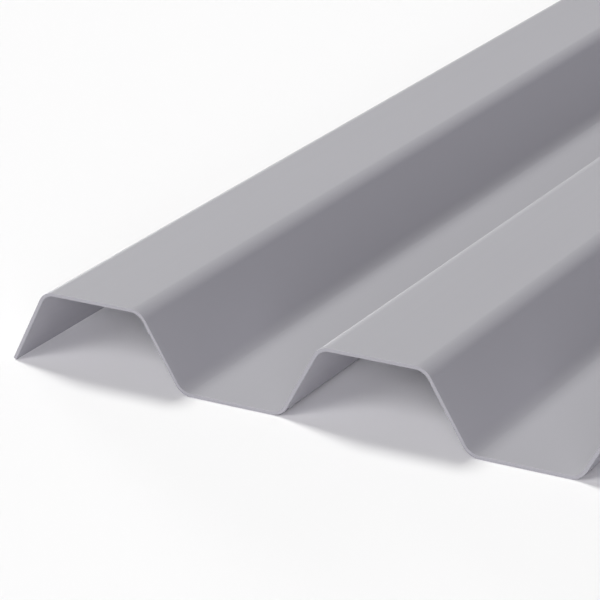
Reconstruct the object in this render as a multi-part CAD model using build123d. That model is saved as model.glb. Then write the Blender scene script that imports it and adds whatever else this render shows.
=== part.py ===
from build123d import *
import os
from math import cos, radians, tan

# A trapezoidal roof sheet, in millimetres. X runs across the waves, Y along them and Z up.
# The undersides of the valleys are at Z = 0, and the middle of the sheet is at X = Y = 0.

# Sheet
SHEET_LENGTH = 2000.0
WALL = 0.8
WAVE_COUNT = 15

# Wave, with widths measured along the middle of the wall between the sharp corners that the bends
# round off, and the height over all
WAVE_PITCH = 70.0
WAVE_HEIGHT = 18.0
CROWN_WIDTH = 25.0
VALLEY_WIDTH = 25.0
INNER_BEND_RADIUS = 3.6

# Free leg that hangs from the outer crown at each long edge, a little steeper than the webs.
# The lowest corner of its tip stays just above the undersides of the valleys.
LEG_ANGLE = 61.5
LEG_TIP_CLEARANCE = 0.05

VALLEY_LEVEL = WALL / 2
CROWN_LEVEL = WAVE_HEIGHT - WALL / 2
BEND_RADIUS = INNER_BEND_RADIUS + WALL / 2
LEG_TIP_LEVEL = LEG_TIP_CLEARANCE + WALL / 2 * cos(radians(LEG_ANGLE))


def wave_corners():
    """Return the sharp corners of the wall's middle line, from the left leg's tip to the right one's."""
    leg_run = (CROWN_LEVEL - LEG_TIP_LEVEL) / tan(radians(LEG_ANGLE))
    first_crown = -WAVE_COUNT * WAVE_PITCH / 2
    corners = [(first_crown - CROWN_WIDTH / 2 - leg_run, LEG_TIP_LEVEL)]
    for wave in range(WAVE_COUNT + 1):
        crown = first_crown + wave * WAVE_PITCH
        corners.append((crown - CROWN_WIDTH / 2, CROWN_LEVEL))
        corners.append((crown + CROWN_WIDTH / 2, CROWN_LEVEL))
        if wave < WAVE_COUNT:
            valley = crown + WAVE_PITCH / 2
            corners.append((valley - VALLEY_WIDTH / 2, VALLEY_LEVEL))
            corners.append((valley + VALLEY_WIDTH / 2, VALLEY_LEVEL))
    corners.append((-first_crown + CROWN_WIDTH / 2 + leg_run, LEG_TIP_LEVEL))
    return corners


def sheet_section():
    """Return the cut end of the sheet: the middle line with its bends, thickened to the wall."""
    return trace(FilletPolyline(*wave_corners(), radius=BEND_RADIUS), WALL)


def roof_sheet():
    """Return the whole sheet, its section drawn along the waves to the sold length."""
    return extrude(Plane.XZ * sheet_section(), amount=SHEET_LENGTH / 2, both=True)


os.makedirs("parts", exist_ok=True)
export_step(roof_sheet(), "parts/roof_sheet.step")
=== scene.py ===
"""A grey polycarbonate roof sheet, modelled and finished for a studio picture.

The sheet is one strip, drawn out fold by fold across its waves, with its folds rounded and its wall
thickened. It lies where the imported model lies, in the same frame, in metres.
"""

import logging
import math
from collections.abc import Callable
from dataclasses import dataclass, field
from enum import Enum

import bmesh
import bpy
from mathutils import Matrix, Vector


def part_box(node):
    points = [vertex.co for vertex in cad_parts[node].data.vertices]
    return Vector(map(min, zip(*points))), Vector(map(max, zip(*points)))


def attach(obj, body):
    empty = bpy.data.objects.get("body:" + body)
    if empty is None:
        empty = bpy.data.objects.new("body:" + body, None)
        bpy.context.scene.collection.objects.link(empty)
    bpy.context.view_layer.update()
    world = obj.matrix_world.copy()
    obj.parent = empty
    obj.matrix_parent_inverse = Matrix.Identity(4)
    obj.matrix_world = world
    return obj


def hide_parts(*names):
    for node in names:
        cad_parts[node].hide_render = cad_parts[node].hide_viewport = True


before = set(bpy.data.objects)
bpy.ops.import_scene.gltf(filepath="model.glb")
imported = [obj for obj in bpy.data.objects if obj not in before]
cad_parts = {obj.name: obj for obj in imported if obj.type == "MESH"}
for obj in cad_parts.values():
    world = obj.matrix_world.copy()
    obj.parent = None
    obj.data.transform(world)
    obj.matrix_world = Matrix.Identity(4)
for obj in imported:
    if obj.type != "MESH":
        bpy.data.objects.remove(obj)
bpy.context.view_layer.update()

SHEET_NODE = "roof_sheet"
SHEET_PIECE = "wave_sheet"
SHEET_BODY = "root"

# Nearly all of a noise pattern's values lie between these two
NOISE_LOW = 0.3
NOISE_HIGH = 0.7

log = logging.getLogger(SHEET_NODE)

Colour = tuple[float, float, float]
Place = tuple[float, float, float]


class Mode(Enum):
    """The modes that a piece is worked on in."""

    OBJECT = "OBJECT"
    EDIT = "EDIT"


class Finishing(Enum):
    """The modifiers that make the rounded strip a finished sheet."""

    WALL = "SOLIDIFY"
    ROUNDED_EDGES = "BEVEL"
    EVEN_SHADING = "WEIGHTED_NORMAL"


class Wall(Enum):
    """The surfaces of the sheet's wall, by their material slots."""

    FACE = 0
    CUT_EDGE = 1


def switch_to(mode: Mode) -> None:
    """Put the active object in that mode."""
    bpy.ops.object.mode_set(mode=mode.value)


def select_edges(piece: bpy.types.Object, wanted: Callable[[bmesh.types.BMEdge], bool]) -> int:
    """Select only some edges of a piece that is in edit mode.

    Args:
        piece: The object in edit mode.
        wanted: Says whether an edge is to be selected.

    Returns:
        How many edges were selected.
    """
    bpy.ops.mesh.select_mode(type="EDGE")
    bpy.ops.mesh.select_all(action="DESELECT")
    mesh = bmesh.from_edit_mesh(piece.data)
    found = [edge for edge in mesh.edges if wanted(edge)]
    for edge in found:
        edge.select_set(True)
    mesh.select_flush_mode()
    bmesh.update_edit_mesh(piece.data)
    return len(found)


def draw_out(across: float, up: float) -> None:
    """Extrude the selected edge by a step across the waves and up."""
    bpy.ops.mesh.extrude_edges_move(TRANSFORM_OT_translate={"value": (across, 0.0, up)})


def true_arc_profile(turn: float) -> float:
    """Return the bevel profile that rounds a fold of that turn, in radians, along a true arc."""
    return (1.0 - 0.5 / (1.0 + math.cos(turn / 2))) ** 2


def apply_modifier(piece: bpy.types.Object, kind: Finishing, **settings: object) -> None:
    """Add a modifier to the active piece and apply it.

    Args:
        piece: The active object, in object mode.
        kind: Which modifier it is.
        settings: The modifier's own values.
    """
    modifier = piece.modifiers.new(kind.name, kind.value)
    for name, value in settings.items():
        setattr(modifier, name, value)
    bpy.ops.object.modifier_apply(modifier=modifier.name)


@dataclass
class FinishNodes:
    """A material's or a group's nodes, with short ways to add and join them."""

    tree: bpy.types.NodeTree

    def add(self, kind: str, **values: object) -> bpy.types.Node:
        """Add a node.

        Args:
            kind: The node's type name.
            values: Properties of the node to set.

        Returns:
            The new node.
        """
        node = self.tree.nodes.new(kind)
        for name, value in values.items():
            setattr(node, name, value)
        return node

    def join(self, source: bpy.types.NodeSocket, target: bpy.types.NodeSocket) -> None:
        """Link one socket to another."""
        self.tree.links.new(source, target)

    def mapped_place(self, scale: Place) -> bpy.types.NodeSocket:
        """Add the piece's own coordinates, stretched.

        Args:
            scale: How much each direction is stretched.

        Returns:
            The stretched coordinates.
        """
        place = self.add("ShaderNodeTexCoord")
        mapping = self.add("ShaderNodeMapping")
        mapping.inputs["Scale"].default_value = scale
        self.join(place.outputs["Object"], mapping.inputs["Vector"])
        return mapping.outputs["Vector"]

    def noise(self, grains: Place, layers: float) -> bpy.types.NodeSocket:
        """Add a noise pattern.

        Args:
            grains: How many grains a metre holds along X, Y and Z.
            layers: How many finer layers the noise has.

        Returns:
            The noise's value, about 0.5 in the middle.
        """
        noise = self.add("ShaderNodeTexNoise")
        noise.inputs["Scale"].default_value = 1.0
        noise.inputs["Detail"].default_value = layers
        self.join(self.mapped_place(grains), noise.inputs["Vector"])
        return noise.outputs["Fac"]

    def spread(self, value: bpy.types.NodeSocket, low: float, high: float) -> bpy.types.NodeSocket:
        """Spread a noise value from its usual range to another.

        Args:
            value: The noise.
            low: What its lowest values become.
            high: What its highest values become.

        Returns:
            The spread value.
        """
        spread = self.add("ShaderNodeMapRange")
        spread.inputs["From Min"].default_value = NOISE_LOW
        spread.inputs["From Max"].default_value = NOISE_HIGH
        spread.inputs["To Min"].default_value = low
        spread.inputs["To Max"].default_value = high
        self.join(value, spread.inputs["Value"])
        return spread.outputs["Result"]


@dataclass(frozen=True)
class ResinTone:
    """The faint cloudiness of the coloured resin, which faces and cut edges share."""

    group_name: str = "resin_tone"
    clouds: Place = (28.0, 9.0, 28.0)
    cloud_layers: float = 2.0

    def group(self) -> bpy.types.NodeTree:
        """Build the node group, or return the one that is there.

        Returns:
            A group that takes a colour and a depth and puts out the clouded colour.
        """
        if self.group_name in bpy.data.node_groups:
            return bpy.data.node_groups[self.group_name]
        tree = bpy.data.node_groups.new(self.group_name, "ShaderNodeTree")
        tree.interface.new_socket("Color", in_out="INPUT", socket_type="NodeSocketColor")
        tree.interface.new_socket("Depth", in_out="INPUT", socket_type="NodeSocketFloat")
        tree.interface.new_socket("Color", in_out="OUTPUT", socket_type="NodeSocketColor")
        nodes = FinishNodes(tree)
        given = nodes.add("NodeGroupInput")
        result = nodes.add("NodeGroupOutput")
        clouds = nodes.spread(nodes.noise(self.clouds, self.cloud_layers), -1.0, 1.0)
        depth = nodes.add("ShaderNodeMath", operation="MULTIPLY_ADD")
        nodes.join(clouds, depth.inputs[0])
        nodes.join(given.outputs["Depth"], depth.inputs[1])
        depth.inputs[2].default_value = 1.0
        shade = nodes.add("ShaderNodeVectorMath", operation="SCALE")
        nodes.join(given.outputs["Color"], shade.inputs["Vector"])
        nodes.join(depth.outputs["Value"], shade.inputs["Scale"])
        nodes.join(shade.outputs["Vector"], result.inputs["Color"])
        return tree


@dataclass(frozen=True)
class PolycarbonateFinish:
    """Opaque grey polycarbonate, with the fine lines that its making left on it."""

    name: str
    colour: Colour
    cloud_depth: float
    smoothest: float
    roughest: float
    lines: Place
    line_depth: float
    line_layers: float = 3.0
    refraction: float = 1.585

    def material(self) -> bpy.types.Material:
        """Build the material.

        Returns:
            A material whose colour, roughness and fine relief follow the piece's own coordinates.
        """
        material = bpy.data.materials.new(self.name)
        material.use_nodes = True
        nodes = FinishNodes(material.node_tree)
        shader = material.node_tree.nodes["Principled BSDF"]
        shader.inputs["IOR"].default_value = self.refraction
        tone = nodes.add("ShaderNodeGroup", node_tree=ResinTone().group())
        tone.inputs["Color"].default_value = (*self.colour, 1.0)
        tone.inputs["Depth"].default_value = self.cloud_depth
        nodes.join(tone.outputs["Color"], shader.inputs["Base Color"])
        lines = nodes.noise(self.lines, self.line_layers)
        nodes.join(nodes.spread(lines, self.smoothest, self.roughest), shader.inputs["Roughness"])
        relief = nodes.add("ShaderNodeBump")
        relief.inputs["Distance"].default_value = self.line_depth
        nodes.join(lines, relief.inputs["Height"])
        nodes.join(relief.outputs["Normal"], shader.inputs["Normal"])
        return material


SATIN_FACE = PolycarbonateFinish(
    name="satin_polycarbonate",
    colour=(0.360, 0.352, 0.386),
    cloud_depth=0.012,
    smoothest=0.47,
    roughest=0.51,
    lines=(420.0, 1.2, 420.0),
    line_depth=1e-7,
)
# The cut edges are rougher and carry fine saw marks, which are real. Their colour is darker than the
# faces' only as painted shade, which dims the cut faces that the front lamps light.
SAWN_EDGE_PAINTED_SHADE = PolycarbonateFinish(
    name="sawn_polycarbonate",
    colour=(0.250, 0.245, 0.267),
    cloud_depth=0.02,
    smoothest=0.5,
    roughest=0.7,
    lines=(4000.0, 1000.0, 300.0),
    line_depth=1e-5,
)


@dataclass
class RoofSheet:
    """The wave sheet: flat crowns and valleys, sloping webs between them, a free leg at each long edge.

    Widths run along the middle of the wall, between the sharp corners that the bends round off.
    """

    wave_count: int = 15
    pitch: float = 0.070
    height: float = 0.018
    wall: float = 0.0008
    crown_width: float = 0.025
    valley_width: float = 0.025
    inner_bend_radius: float = 0.0036
    leg_angle: float = math.radians(61.5)
    leg_tip_clearance: float = 0.00005
    bend_steps: int = 12
    edge_round: float = 0.00005
    edge_steps: int = 2
    sharp_angle: float = math.radians(60)
    face_finish: PolycarbonateFinish = SATIN_FACE
    # The cut edges' finish: real saw marks and roughness, with a darker colour that is painted shade.
    edge_finish_and_shade: PolycarbonateFinish = SAWN_EDGE_PAINTED_SHADE
    length: float = field(init=False)
    crown_level: float = field(init=False)
    outer_crown: float = field(init=False)
    web_run: float = field(init=False)
    web_drop: float = field(init=False)
    leg_run: float = field(init=False)
    leg_drop: float = field(init=False)

    def __post_init__(self) -> None:
        """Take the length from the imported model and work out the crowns, the webs and the legs."""
        low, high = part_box(SHEET_NODE)
        self.length = high.y - low.y
        self.crown_level = self.height - self.wall / 2
        self.outer_crown = self.wave_count * self.pitch / 2
        self.web_run = (self.pitch - self.crown_width - self.valley_width) / 2
        self.web_drop = self.height - self.wall
        leg_tip_level = self.leg_tip_clearance + self.wall / 2 * math.cos(self.leg_angle)
        self.leg_drop = self.crown_level - leg_tip_level
        self.leg_run = self.leg_drop / math.tan(self.leg_angle)

    def build(self) -> bpy.types.Object:
        """Model the sheet and dress it.

        Returns:
            The finished piece, riding on the sheet's body in place of its CAD node.
        """
        sheet = self.lay_first_crown()
        switch_to(Mode.EDIT)
        self.draw_out_waves(sheet)
        self.round_folds(sheet)
        switch_to(Mode.OBJECT)
        self.dress(sheet)
        self.thicken(sheet)
        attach(sheet, SHEET_BODY)
        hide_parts(SHEET_NODE)
        return sheet

    def lay_first_crown(self) -> bpy.types.Object:
        """Lay a plane as the flat of the leftmost crown, over the sheet's whole length.

        Returns:
            The plane, which is the active object.
        """
        middle = (-self.outer_crown, 0.0, self.crown_level)
        bpy.ops.object.select_all(action="DESELECT")
        bpy.ops.mesh.primitive_plane_add(size=1.0, location=middle)
        sheet = bpy.context.object
        sheet.name = SHEET_PIECE
        sheet.data.name = SHEET_PIECE
        sheet.scale = (self.crown_width, self.length, 1.0)
        bpy.ops.object.transform_apply(location=True, rotation=True, scale=True)
        return sheet

    def fold_steps(self) -> list[tuple[float, float]]:
        """List the folds to the right of the first crown.

        Returns:
            The steps across and up, from the crown's right edge to the right leg's tip.
        """
        wave = [
            (self.web_run, -self.web_drop),
            (self.valley_width, 0.0),
            (self.web_run, self.web_drop),
            (self.crown_width, 0.0),
        ]
        return wave * self.wave_count + [(self.leg_run, -self.leg_drop)]

    def draw_out_waves(self, sheet: bpy.types.Object) -> None:
        """Extrude the left leg from the crown's left edge, then every fold from its right edge.

        Args:
            sheet: The first crown, in edit mode.
        """
        middle = -self.outer_crown
        select_edges(sheet, lambda edge: all(corner.co.x < middle for corner in edge.verts))
        draw_out(-self.leg_run, -self.leg_drop)
        select_edges(sheet, lambda edge: all(corner.co.x > middle for corner in edge.verts))
        for across, up in self.fold_steps():
            draw_out(across, up)

    def round_folds(self, sheet: bpy.types.Object) -> None:
        """Bevel each fold to its bend: the two that the legs hang from first, then those of the webs.

        Args:
            sheet: The sharply folded strip, in edit mode.
        """
        bpy.ops.mesh.select_all(action="SELECT")
        bpy.ops.mesh.normals_make_consistent(inside=False)

        def is_leg_fold(edge: bmesh.types.BMEdge) -> bool:
            """Say whether an edge is a fold that a leg hangs from."""
            return len(edge.link_faces) == 2 and abs(edge.verts[0].co.x) > self.outer_crown

        def is_web_fold(edge: bmesh.types.BMEdge) -> bool:
            """Say whether an edge is a fold between a web and a crown or valley."""
            return len(edge.link_faces) == 2 and not is_leg_fold(edge)

        web_angle = math.atan2(self.web_drop, self.web_run)
        middle_radius = self.inner_bend_radius + self.wall / 2
        for is_fold, turn in ((is_leg_fold, self.leg_angle), (is_web_fold, web_angle)):
            count = select_edges(sheet, is_fold)
            bpy.ops.mesh.bevel(
                offset_type="OFFSET",
                offset=middle_radius * math.tan(turn / 2),
                segments=self.bend_steps,
                profile=true_arc_profile(turn),
                affect="EDGES",
                clamp_overlap=False,
            )
            log.info("rounded %d folds that turn %.1f degrees", count, math.degrees(turn))

    def dress(self, sheet: bpy.types.Object) -> None:
        """Give the strip its finishes, in the order of its wall's slots.

        Args:
            sheet: The rounded strip, in object mode.
        """
        # The cut edges get the darker colour that paints shade on them.
        finishes = {Wall.FACE: self.face_finish, Wall.CUT_EDGE: self.edge_finish_and_shade}
        for surface in Wall:
            sheet.data.materials.append(finishes[surface].material())

    def thicken(self, sheet: bpy.types.Object) -> None:
        """Give the strip its wall, take the sharpness off the cut edges and smooth the bends.

        Args:
            sheet: The dressed strip, in object mode.
        """
        apply_modifier(
            sheet,
            Finishing.WALL,
            thickness=self.wall,
            offset=0.0,
            use_even_offset=True,
            use_quality_normals=True,
            material_offset_rim=Wall.CUT_EDGE.value,
        )
        apply_modifier(
            sheet,
            Finishing.ROUNDED_EDGES,
            width=self.edge_round,
            segments=self.edge_steps,
            limit_method="ANGLE",
            angle_limit=self.sharp_angle,
        )
        bpy.ops.object.shade_smooth()
        apply_modifier(sheet, Finishing.EVEN_SHADING, mode="FACE_AREA")


@dataclass
class Floor:
    """The plain pale floor that the sheet lies on."""

    name: str = "studio_floor"
    side: float = 80.0
    colour: Colour = (0.847, 0.838, 0.857)
    roughness: float = 1.0
    gloss: float = 0.0

    def build(self) -> bpy.types.Object:
        """Lay the floor under the sheet.

        Returns:
            The floor.
        """
        bpy.ops.object.select_all(action="DESELECT")
        bpy.ops.mesh.primitive_plane_add(size=self.side)
        floor = bpy.context.object
        floor.name = self.name
        material = bpy.data.materials.new(self.name)
        material.use_nodes = True
        shader = material.node_tree.nodes["Principled BSDF"]
        shader.inputs["Base Color"].default_value = (*self.colour, 1.0)
        shader.inputs["Roughness"].default_value = self.roughness
        shader.inputs["Specular IOR Level"].default_value = self.gloss
        floor.data.materials.append(material)
        return floor


class LampRole(Enum):
    """What each lamp of the studio is for."""

    KEY = "key_lamp"
    FRONT = "front_lamp"
    FILL = "fill_lamp"
    BACK = "back_lamp"
    RIM = "rim_lamp"


class LampTint(Enum):
    """Which way a lamp's white leans."""

    PLAIN = (1.0, 1.0, 1.0)
    WARM = (0.985, 1.0, 0.945)
    COOL = (0.97, 0.97, 1.0)


@dataclass(frozen=True)
class Lamp:
    """A wide, far lamp, which lights the sheet evenly from end to end."""

    role: LampRole
    comes_from: Place
    strength: float
    softness: float
    tint: LampTint = LampTint.PLAIN

    def build(self) -> bpy.types.Object:
        """Hang the lamp.

        Returns:
            The lamp, turned so that its light comes from its own direction.
        """
        data = bpy.data.lights.new(self.role.value, "SUN")
        data.energy = self.strength
        data.angle = self.softness
        data.color = self.tint.value
        lamp = bpy.data.objects.new(self.role.value, data)
        lamp.location = self.comes_from
        lamp.rotation_mode = "QUATERNION"
        lamp.rotation_quaternion = Vector(self.comes_from).to_track_quat("Z", "Y")
        bpy.context.scene.collection.objects.link(lamp)
        return lamp


@dataclass
class Studio:
    """Soft studio light from above, from the front and from low behind, with an even white glow."""

    lamps: tuple[Lamp, ...] = (
        Lamp(LampRole.KEY, (-0.55, 0.25, 0.80), 2.15, math.radians(18), LampTint.WARM),
        Lamp(LampRole.FRONT, (-0.20, -0.75, 0.63), 1.30, math.radians(30)),
        Lamp(LampRole.FILL, (0.40, -0.88, 0.18), 3.30, math.radians(40), LampTint.COOL),
        Lamp(LampRole.BACK, (-0.38, 0.92, 0.10), 0.09, math.radians(24)),
        Lamp(LampRole.RIM, (-0.81, 0.58, 0.09), 1.20, math.radians(14)),
    )
    glow: float = 0.12
    glow_colour: Colour = (1.0, 1.0, 1.0)

    def build(self) -> None:
        """Hang the lamps, set the glow and show colours as they are lit."""
        for lamp in self.lamps:
            log.info("%s hung", lamp.build().name)
        world = bpy.data.worlds.new("studio_glow")
        world.use_nodes = True
        background = world.node_tree.nodes["Background"]
        background.inputs["Color"].default_value = (*self.glow_colour, 1.0)
        background.inputs["Strength"].default_value = self.glow
        bpy.context.scene.world = world
        bpy.context.scene.view_settings.view_transform = "Standard"


@dataclass
class PhotoCamera:
    """The camera at the photograph's place, looking down on the sheet's front left corner."""

    name: str = "photo_camera"
    place: Place = (-0.18184, -1.47427, 0.24931)
    heading: float = math.radians(31.4343)
    tilt: float = math.radians(21.7372)
    roll: float = math.radians(1.8898)
    focal_pixels: float = 2883.6
    frame_pixels: float = 600.0
    nearest: float = 0.01

    def build(self) -> bpy.types.Object:
        """Set the camera up as the scene's own.

        Returns:
            The camera, turned left by its heading, down by its tilt and about its own axis by its roll.
        """
        data = bpy.data.cameras.new(self.name)
        data.sensor_fit = "HORIZONTAL"
        data.lens = data.sensor_width * self.focal_pixels / self.frame_pixels
        data.clip_start = self.nearest
        camera = bpy.data.objects.new(self.name, data)
        turn = (
            Matrix.Rotation(self.heading, 4, "Z")
            @ Matrix.Rotation(math.pi / 2 - self.tilt, 4, "X")
            @ Matrix.Rotation(-self.roll, 4, "Z")
        )
        camera.matrix_world = Matrix.Translation(self.place) @ turn
        bpy.context.scene.collection.objects.link(camera)
        bpy.context.scene.camera = camera
        return camera


def main() -> None:
    """Build the sheet, the floor, the light and the camera, and report each."""
    logging.basicConfig(level=logging.INFO, format="%(name)s: %(message)s")
    sheet = RoofSheet().build()
    log.info("%s has %d faces", sheet.name, len(sheet.data.polygons))
    log.info("%s laid", Floor().build().name)
    Studio().build()
    log.info("studio lit")
    log.info("%s placed", PhotoCamera().build().name)


if __name__ == "__main__":
    main()
